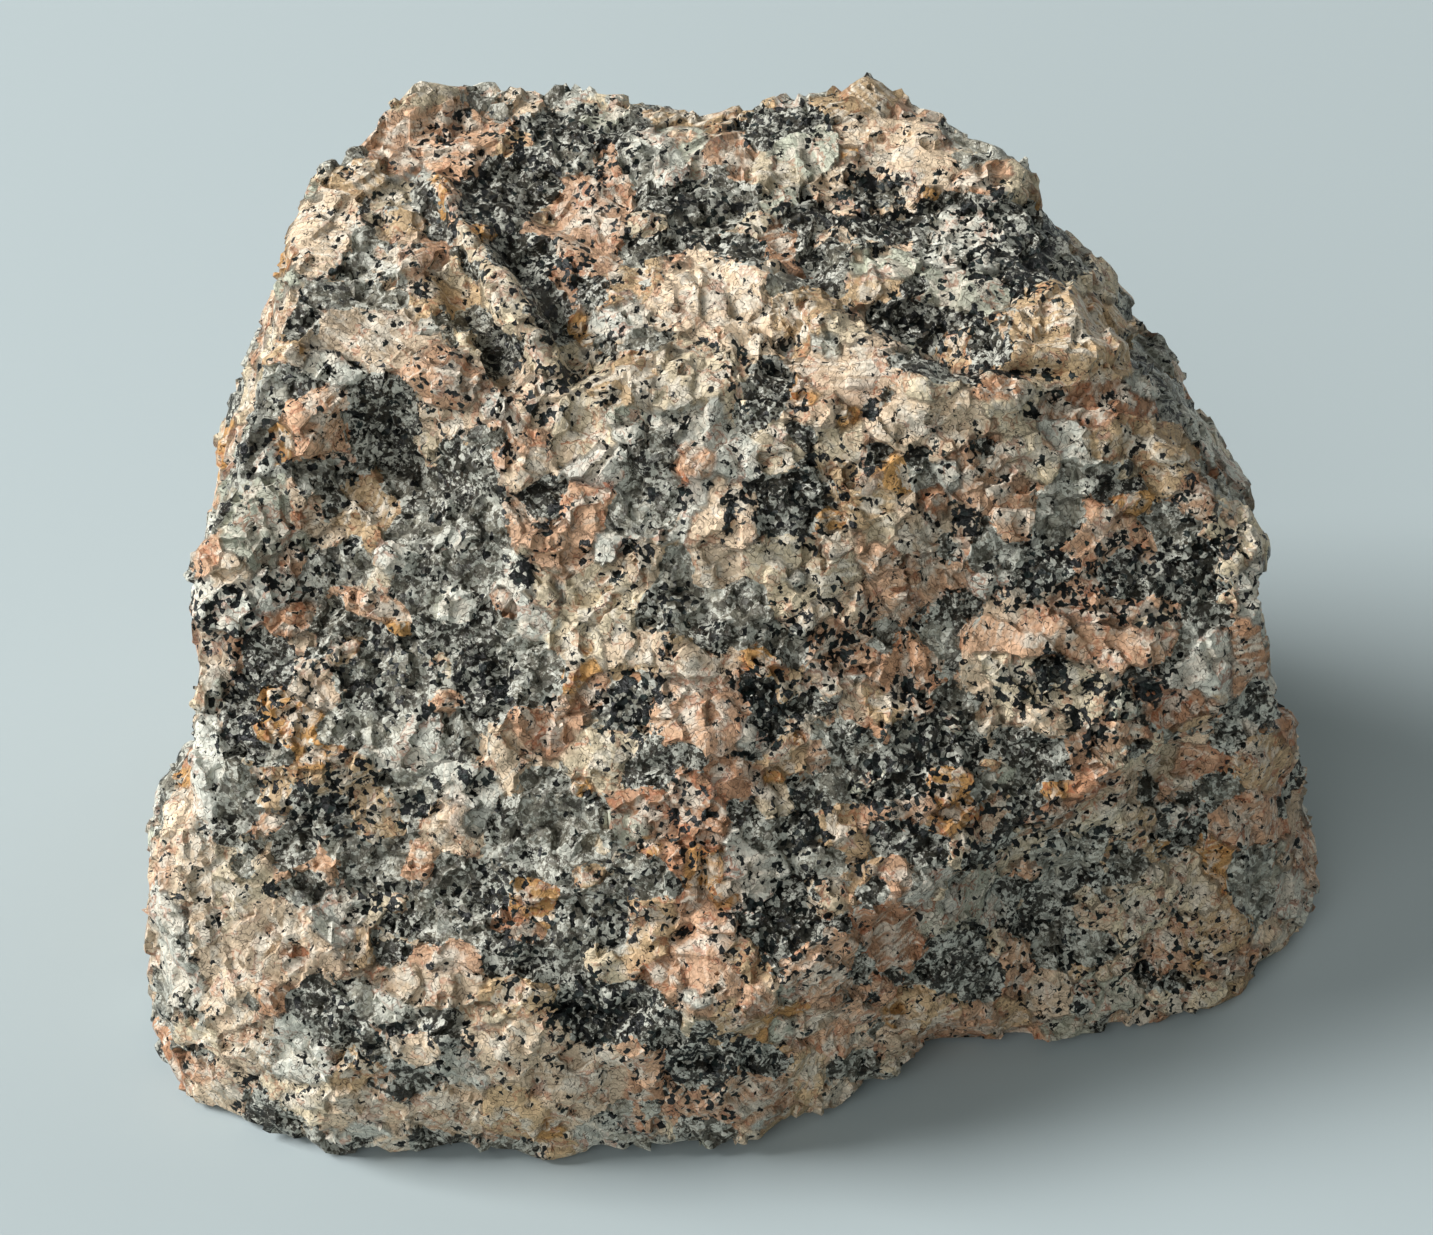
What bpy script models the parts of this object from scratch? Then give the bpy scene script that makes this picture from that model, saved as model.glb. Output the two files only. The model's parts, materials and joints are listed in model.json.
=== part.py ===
"""A hand specimen of coarse pink granite, broken from a larger block.

The stone is one solid. It starts as three hewn blocks, each a cuboid cut back by the flat fractures
that a hammer leaves: the body, the toe under its right end and the foot at its left. The blocks
are fused and their arrises worn. Scars, ribs and chipped grain then roughen the faces, and
the underside is trimmed, so that the stone rests on flat spots.
"""

import math

import bmesh
import bpy
from mathutils import Matrix, Vector, noise

# All lengths below are in millimetres. x runs to the right, y away from the viewer from the front of the
# stone's foot, and z up from the surface that the stone is on.
MM = 0.001

# The cuboid that each block is cut from.
BLOCK_LOW = Vector((-80, -20, 0))
BLOCK_HIGH = Vector((80, 110, 100))

# Each fracture has the azimuth of its face (0 faces the viewer, 90 the right), how far that face looks
# upwards, both in degrees, and a point that it passes through.
BODY = {
    "front left": (-8, 38, (0, 35, 70)),
    "front middle": (1.5, 38, (0, 35.6, 69.5)),
    "front right": (11, 38, (0, 35, 70)),
    "top": (0, 78, (0, 35, 69.6)),
    "left shoulder": (-92, 22, (-53, 37, 61)),
    "left wall": (-90, 1, (-56.6, 20, 33)),
    "back left corner": (-118, 14, (-43.9, 73, 78)),
    "back right shoulder": (136, 20, (28.7, 73.2, 78)),
    "right shoulder": (107, 25, (44.2, 51, 73)),
    "right slope": (96, 42, (47.4, 40, 61.6)),
    "right wall": (92, 5, (56.6, 30, 45)),
    "back": (178, 8, (0, 84, 78)),
    "back left": (-146, 4, (-45, 78, 30)),
    "back right": (148, 10, (45, 76, 30)),
    "front band": (0, 4, (-20, -4, 0)),
    "front left corner": (-25, 4, (-46, -2, 0)),
    "lower right face": (28, 2, (27, 11.6, 20)),
}
TOE = {
    "toe front": (20, 18, (38, 11.8, 0)),
    "toe front corner": (50, 10, (61, 25.4, 0)),
    "toe right": (84, 8, (65, 30, 6)),
    "toe crest": (130, 55, (57.3, 30, 33)),
    "toe left end": (-30, 12, (29, 13.4, 0)),
    "toe back": (124, 14, (61, 46, 10)),
    "toe inner back": (172, 12, (40, 60, 10)),
    "toe inner end": (-90, 0, (12, 40, 10)),
}
FOOT = {
    "foot front": (-25, 4, (-46, -2, 0)),
    "foot front corner": (-58, 8, (-62.4, 7.6, 0)),
    "foot left": (-88, 7, (-65, 24, 0)),
    "foot brow": (-14, 40, (-54.5, 8.4, 26)),
    "foot top": (-104, 50, (-59.4, 22, 29)),
    "foot back": (-130, 20, (-63, 42, 5)),
    "foot inner end": (90, 0, (-46, 30, 10)),
    "foot back end": (180, 0, (-50, 66, 10)),
}

# Wear of the fused blocks: the grain that they are rebuilt at, and how often and how far it is smoothed.
REBUILD = 1.0
SMOOTH_ROUNDS = 7
SMOOTH_FACTOR = 0.5

# Scars are dents, ribs are swellings. Each has a centre, its half lengths along three axes (along, across
# and through the face), the azimuth and rise of the face that it lies on, the turn of its long axis on
# that face, and a depth, negative for a rib.
SCARS = {
    "bowl": ((-35, 34.5, 63.5), (12, 10.5, 10), -8, 38, 10, 5.4),
    "bowl outlet": ((-42, 28, 54), (10, 7.5, 8), -14, 38, -50, 2.6),
    "bowl lip": ((-30, 41.5, 70.3), (14, 3.4, 6), -4, 62, -4, -1.5),
    "groove": ((-26.4, 48, 71), (13, 3.2, 7), 0, 78, -66, 3.0),
    "cream rib": ((-22, 48, 71.5), (14, 2.8, 7), 0, 78, -65, -2.6),
    "quartz valley": ((-16.6, 50, 72), (12, 3.6, 7), 0, 78, -64, 2.2),
    "upper valley": ((-21, 66, 75.5), (11, 6, 8), 0, 78, -50, 1.8),
    "top ridge": ((9, 48.5, 72), (18, 4.2, 8), 0, 78, -42, -2.2),
    "right hollow": ((21, 46, 72), (10, 6, 8), 0, 78, -35, 3.4),
    "upper hollow": ((14, 66, 76), (13, 7, 8), 0, 78, -20, 1.8),
    "saddle": ((-5, 84, 80), (21, 10, 10), 170, 50, 0, 3.2),
    "left peak": ((-36.5, 81, 79), (9, 8, 9), 0, 78, 0, -3.6),
    "right peak": ((15.5, 80, 79), (6, 6, 6), 0, 78, 0, -1.6),
    "plate": ((37, 55, 71), (8, 7, 6), 60, 62, 20, 1.2),
    "plate ledge": ((36, 40, 68.6), (11, 3, 6), 10, 58, 12, 2.4),
    "shoulder step": ((-9, 36, 68), (13, 4, 6), 0, 52, -4, 1.8),
    "face scar": ((20, 20, 50), (16, 13, 9), 11, 38, 30, 1.6),
    "face swell": ((0, 14, 43), (15, 12, 9), 1, 38, 60, -1.2),
    "left swell": ((-44, 16, 38), (10, 12, 9), -14, 34, 80, -1.2),
    "brow chip": ((-6, 2.5, 27), (11, 6, 7), 0, 38, 0, 1.6),
    "pocket": ((47, 21, 32), (9, 6, 7), 30, 20, 25, 3.6),
    "lower scoop": ((33, 15, 20), (14, 9, 9), 26, 10, -8, 2.8),
    "notch": ((23, 9.5, 1), (7, 6, 9), 28, 0, 0, 4.5),
    "right step": ((47, 41, 67), (6, 6, 7), 90, 40, 0, 2.0),
    "back scar": ((10, 86, 42), (24, 19, 11), 178, 10, 30, 4.0),
    "back ledge": ((-24, 88, 30), (22, 5, 9), -165, 12, 12, -2.6),
    "back right scar": ((46, 74, 24), (16, 13, 9), 148, 10, -20, 3.2),
    "left scar": ((-57, 44, 40), (19, 12, 9), -90, 6, 35, 3.0),
    "left rib": ((-57, 58, 24), (15, 4, 8), -95, 4, -25, -2.2),
    "right scar": ((61, 52, 32), (14, 12, 9), 98, 14, 15, 3.0),
    "under scar": ((6, 50, 0), (34, 22, 9), 0, -90, 20, 3.2),
    "under chip": ((-42, 30, 0), (13, 10, 8), 0, -90, -30, 2.4),
    "under heel": ((34, 68, 0), (16, 10, 8), 0, -90, 10, 2.4),
}

# Chipped grain of the whole surface: the size of the chips and how high they stand. Each chip is a
# plateau with a groove around it, on a gentle swell.
CHIPS = ((19.0, 1.3), (8.0, 1.0), (4.2, 0.5))
CHIP_SEED = Vector((3.7, 1.9, 8.3))
PLATEAU = 0.75
GROOVE_LEVEL = 0.36
SWELL = 0.9
SWELL_PITCH = 1.3

# The triangles left in the skin, the slivers cleared from it, and how much is trimmed off the underside.
TRIANGLES = 9000
SLIVER = 0.02
TRIM = 0.8

# The finish of the broken rock.
COLOUR = (0.46, 0.36, 0.29, 1.0)
ROUGHNESS = 0.75


def face_normal(azimuth, rise):
    """Return the outward direction of a face from its azimuth and rise."""
    turn = math.radians(azimuth)
    lift = math.radians(rise)
    return Vector((math.cos(lift) * math.sin(turn), -math.cos(lift) * math.cos(turn), math.sin(lift)))


def add_cuboid(name, low, high):
    """Return a cuboid between two corners."""
    bpy.ops.mesh.primitive_cube_add(size=1, location=(low + high) / 2 * MM)
    cuboid = bpy.context.object
    cuboid.name = name
    cuboid.scale = (high - low) * MM
    bpy.ops.object.transform_apply(location=True, rotation=True, scale=True)
    return cuboid


def apply_modifier(piece, name, kind, **settings):
    """Add one modifier to a piece, set it up and apply it."""
    bpy.context.view_layer.objects.active = piece
    modifier = piece.modifiers.new(name, kind)
    for key, value in settings.items():
        setattr(modifier, key, value)
    bpy.ops.object.modifier_apply(modifier=modifier.name)


def hewn_block(name, fractures):
    """Return a cuboid cut back by flat fractures."""
    block = add_cuboid(name, BLOCK_LOW, BLOCK_HIGH)
    bm = bmesh.new()
    bm.from_mesh(block.data)
    for azimuth, rise, point in fractures.values():
        parts = bm.verts[:] + bm.edges[:] + bm.faces[:]
        cut = bmesh.ops.bisect_plane(
            bm, geom=parts, dist=1e-7, plane_co=Vector(point) * MM,
            plane_no=face_normal(azimuth, rise), clear_outer=True)
        rim = [item for item in cut["geom_cut"] if isinstance(item, bmesh.types.BMEdge)]
        bmesh.ops.holes_fill(bm, edges=rim, sides=0)
    bmesh.ops.recalc_face_normals(bm, faces=bm.faces)
    bm.to_mesh(block.data)
    bm.free()
    return block


def fuse(name, blocks):
    """Join the blocks, rebuild them as one closed skin and wear their arrises."""
    bpy.ops.object.select_all(action="DESELECT")
    for block in blocks:
        block.select_set(True)
    bpy.context.view_layer.objects.active = blocks[0]
    bpy.ops.object.join()
    stone = bpy.context.object
    stone.name = name
    stone.data.name = name
    apply_modifier(stone, "Rebuild", "REMESH", mode="VOXEL", voxel_size=REBUILD * MM)
    apply_modifier(stone, "Wear", "SMOOTH", iterations=SMOOTH_ROUNDS, factor=SMOOTH_FACTOR)
    return stone


def scar_axes(azimuth, rise, turn):
    """Return the three axes of a scar: along, across and out of its face."""
    out = face_normal(azimuth, rise)
    side = Vector((math.cos(math.radians(azimuth)), math.sin(math.radians(azimuth)), 0))
    up = out.cross(side)
    angle = math.radians(turn)
    along = side * math.cos(angle) + up * math.sin(angle)
    return along, out.cross(along), out


def scar_shift(place, centre, half_lengths, azimuth, rise, turn, depth):
    """Return how far one scar moves the skin at a place: most in its middle, not at all at its rim."""
    axes = scar_axes(azimuth, rise, turn)
    offset = place - Vector(centre)
    reach = sum((offset.dot(axis) / half) ** 2 for axis, half in zip(axes, half_lengths))
    if reach >= 1:
        return Vector()
    return axes[2] * (-depth * (1 - reach) ** 2)


def chip_height(place, size, height):
    """Return how far the chips of one size lift the skin at a place."""
    spot = place / size + CHIP_SEED
    nearest, second = noise.voronoi(spot)[0][:2]
    plateau = PLATEAU * (second - nearest - GROOVE_LEVEL)
    swell = SWELL * noise.noise(spot * SWELL_PITCH)
    return height * (plateau + swell)


def roughen(stone):
    """Sink the scars, raise the ribs and chip the grain of every face."""
    bm = bmesh.new()
    bm.from_mesh(stone.data)
    bm.normal_update()
    for vert in bm.verts:
        place = vert.co / MM
        shift = sum((scar_shift(place, *scar) for scar in SCARS.values()), Vector())
        lift = sum(chip_height(place, size, height) for size, height in CHIPS)
        vert.co += (shift + vert.normal * lift) * MM
    bm.to_mesh(stone.data)
    bm.free()


def thin_out(stone):
    """Reduce the skin to its number of triangles."""
    stone.data.calc_loop_triangles()
    apply_modifier(stone, "Thin", "DECIMATE", ratio=TRIANGLES / len(stone.data.loop_triangles))


def trim_underside(stone):
    """Cut the lowest bumps flat, so that the stone has spots to rest on."""
    floor = min(vert.co.z for vert in stone.data.vertices) / MM + TRIM
    ground = add_cuboid("ground", BLOCK_LOW - Vector((0, 0, 20)), Vector((*BLOCK_HIGH.xy, floor)))
    apply_modifier(stone, "Trim", "BOOLEAN", operation="DIFFERENCE", solver="EXACT", object=ground)
    bpy.data.objects.remove(ground, do_unlink=True)
    bm = bmesh.new()
    bm.from_mesh(stone.data)
    bmesh.ops.triangulate(bm, faces=[face for face in bm.faces if len(face.verts) > 3])
    bmesh.ops.dissolve_degenerate(bm, edges=bm.edges, dist=SLIVER * MM)
    bmesh.ops.recalc_face_normals(bm, faces=bm.faces)
    bm.to_mesh(stone.data)
    bm.free()


def set_down(stone):
    """Move the stone so that the origin is at floor level under the middle of its box."""
    corners = [Vector(corner) for corner in stone.bound_box]
    middle = sum(corners, Vector()) / len(corners)
    floor = min(corner.z for corner in corners)
    stone.data.transform(Matrix.Translation((-middle.x, -middle.y, -floor)))


def broken_granite():
    """Return the material of the whole stone: coarse pink granite, broken and not polished."""
    material = bpy.data.materials.new("broken granite")
    material.use_nodes = True
    principled = material.node_tree.nodes["Principled BSDF"]
    principled.inputs["Base Color"].default_value = COLOUR
    principled.inputs["Metallic"].default_value = 0.0
    principled.inputs["Roughness"].default_value = ROUGHNESS
    return material


for old in list(bpy.data.objects):
    bpy.data.objects.remove(old, do_unlink=True)

granite = fuse("granite", [hewn_block("body", BODY), hewn_block("toe", TOE), hewn_block("foot", FOOT)])
roughen(granite)
thin_out(granite)
trim_underside(granite)
set_down(granite)
granite.data.materials.append(broken_granite())
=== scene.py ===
"""The looks of one hand specimen of coarse pink granite, lying on its small flat spot.

The stone is one broken piece of rock, so it is one closed mesh. Its solid is turned into a fine skin,
which gets the relief that the grains give a fresh break: flat tilted plates of feldspar with small
ledges, curved lumps of quartz, and pits where mica has split out. The same grains then colour it.
Lengths are in millimetres and are turned to metres where the mesh is written.
"""

import itertools
import json
import math

import bpy
import numpy as np
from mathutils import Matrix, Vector
from mathutils.bvhtree import BVHTree

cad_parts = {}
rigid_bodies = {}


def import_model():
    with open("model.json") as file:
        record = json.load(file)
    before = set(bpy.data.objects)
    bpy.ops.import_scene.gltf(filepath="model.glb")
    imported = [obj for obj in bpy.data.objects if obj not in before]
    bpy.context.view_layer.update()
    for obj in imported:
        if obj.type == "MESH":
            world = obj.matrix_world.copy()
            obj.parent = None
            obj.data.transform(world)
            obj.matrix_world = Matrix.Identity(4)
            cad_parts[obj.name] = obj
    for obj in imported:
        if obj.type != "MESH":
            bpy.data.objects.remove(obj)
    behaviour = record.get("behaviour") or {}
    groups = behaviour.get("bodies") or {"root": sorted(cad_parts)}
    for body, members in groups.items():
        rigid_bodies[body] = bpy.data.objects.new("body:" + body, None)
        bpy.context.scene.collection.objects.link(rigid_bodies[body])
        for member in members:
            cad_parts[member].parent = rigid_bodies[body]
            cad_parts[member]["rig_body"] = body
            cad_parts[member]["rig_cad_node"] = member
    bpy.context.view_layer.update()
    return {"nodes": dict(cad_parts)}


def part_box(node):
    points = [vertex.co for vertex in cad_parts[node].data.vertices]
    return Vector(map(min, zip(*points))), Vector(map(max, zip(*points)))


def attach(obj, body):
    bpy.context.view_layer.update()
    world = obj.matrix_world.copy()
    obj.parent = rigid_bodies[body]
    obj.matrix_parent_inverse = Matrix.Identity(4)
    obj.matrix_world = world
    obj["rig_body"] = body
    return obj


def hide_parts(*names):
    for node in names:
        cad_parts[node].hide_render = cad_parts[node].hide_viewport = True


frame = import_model()

MM = 0.001
NODE = "granite"

# The photograph's frame in pixels, and the view: a long lens that looks down at the front of the stone
PHOTO_WIDTH = 1433
PHOTO_HEIGHT = 1235
LENS = 85.0
SENSOR = 36.0
VIEW_RISE = math.radians(40.0)
VIEW_DISTANCE = 347.0
VIEW_AIM = np.array((-2.88, -21.64, 52.18))

# The skin: the size of its first even quads, the rounds of smoothing that take the solid's facets
# away, its triangles once it is thinned, how much of the thinning the finest parts are spared, how
# fine the sides are that the camera doesn't see, and the angle from which an edge shows as sharp
SKIN_QUAD = 0.42
SKIN_ROUNDS = 14
SKIN_TRIANGLES = 196000
THIN_SPARED = 0.4
FINE_ELSEWHERE = 0.7
SHARP_EDGE = math.radians(42)

# How the rock's rules are stirred so that they lose their straight lines: the size of the noise and
# how far it moves a point, both in millimetres, and its seed
BROAD_STIR = (4.0, 0.8, 21)
FINE_STIR = (1.5, 0.4, 31)
PLATE_STIR = (2.0, 0.15, 41)
LUMP_STIR = (1.7, 0.35, 41)

# The seeds of the grains that no landmark names, of the plates, of the roughness and of the lumps
GRAIN_SEED = 11
PLATE_SEED = 51
ROUGH_SEED = 61
LUMP_SEED = 71

# The relief of the grains in millimetres
PLATE_SIZE = (2.2, 3.8, 2.6)
PLATE_TILT = 0.36
PLATE_REACH = 0.55
PLATE_STEP = 0.45
GRAIN_STEP = 0.5
LUMP_SIZE = 2.3
LUMP_SLOPE = 0.5
LUMP_ROUND = 0.3
LUMP_STEP = 0.35
QUARTZ_SUNK = 0.30
MICA_PIT = 0.25
ROUGH_COARSE = (4.2, 0.28)
ROUGH_FINE = (1.3, 0.07)
FINISH_ROUNDS = 1
FOOT_CALM = 1.0

# The map for baking: the cells in millimetres over which the skin's direction is averaged, the sheet of
# each side (left, right, front, back, under, top) as its two axes and its place, and the map's width
MAP_CELL = 6.0
MAP_SHEETS = (
    (1, 2, 1, 1), (1, 2, 103, 1),
    (0, 2, 1, 85), (0, 2, 136, 85),
    (0, 1, 1, 169), (0, 1, 136, 169),
)
MAP_SIZE = 271.0

# Grains that no landmark names: their spacing in the rock, their half lengths, smallest and largest,
# and how much longer or shorter each of the three may be
FILL_SPACING = 4.8
FILL_HALF = (1.5, 4.0)
FILL_SHAPE = (0.7, 1.3)

# In half lengths of a grain: how deep a landmark goes into the rock, how far a grain and a stain can
# reach, what counts as out of reach, how near to the skin a filling grain has to be, and how clear of
# the landmarks
GRAIN_DEPTH = 2.2
GRAIN_LIMIT = 2.2
STAIN_LIMIT = 2.0
OUT_OF_REACH = 3.0
FILL_NEAR = 1.1
FILL_CLEAR = 1.25

# What the rock is made of: each kind of grain with its mineral, its colour, and its share of the
# grains that no landmark names
KINDS = {
    "blush": ("feldspar", "#dbc3a5", 0.15),
    "salmon": ("feldspar", "#cea685", 0.12),
    "brick": ("feldspar", "#b78c6b", 0.04),
    "tan": ("feldspar", "#c8ab84", 0.08),
    "amber": ("feldspar", "#bf9158", 0.03),
    "cream": ("feldspar", "#d8c7a8", 0.11),
    "white": ("feldspar", "#d0cfc1", 0.12),
    "sage": ("feldspar", "#bcbda9", 0.03),
    "pale quartz": ("quartz", "#a09c8d", 0.08),
    "smoky quartz": ("quartz", "#777366", 0.13),
    "dark quartz": ("quartz", "#403e36", 0.12),
}

# The darkest that a grain can be against its kind's colour, and how much brighter the brightest is
GRAIN_DARKEST = 0.82
GRAIN_SPREAD = 0.36

# Colours that aren't a grain's own
PALE_FELDSPAR = "#dcd2c0"
# Partly real frost on quartz, partly a painted glint on its brightest chips
FROST_AND_PAINTED_GLINT = "#c6c5b8"
WHITE_POWDER = "#d6d5c8"
RUSTY_FILM = "#a25a35"
HAIR_CRACK = "#4a3a2e"
MICA_BLACK = "#060807"
# A painted teal glint for mica
MICA_PAINTED_GLINT = "#222c29"

# What the material adds, as how many fit in a millimetre, and how far the crumbs' edges wander in
# millimetres
LUMPS = 0.52
CHIPS = 1.7
GRIT = 2.6
PATCHES = 0.55
STREAKS = 1.6
LEDGES = 1.1
WANDERS = 1.1
WANDER = 0.6

# Granite's shine
STONE_IOR = 1.53
STONE_SPECULAR = 0.28
QUARTZ_ROUGH = 0.32
FELDSPAR_ROUGH = 0.52
MICA_ROUGH = 0.36

# The studio: each lamp's name, azimuth, rise, distance in metres, size in metres and power in watts,
# then the even fill and the floor
LAMPS = (
    ("key", -95, 36, 3.0, 1.4, 150.0),
    ("front fill", -30, 30, 2.4, 2.0, 22.0),
    ("back fill", 135, 28, 2.4, 2.0, 16.0),
)
LAMP_AIM = Vector((0, 0, 40 * MM))
FILL_COLOUR = "#cbdedb"
FILL_STRENGTH = 0.15
FLOOR_COLOUR = "#a9b4b6"
FLOOR_ROUGH = 0.8
FLOOR_SIZE = 6.0
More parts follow.
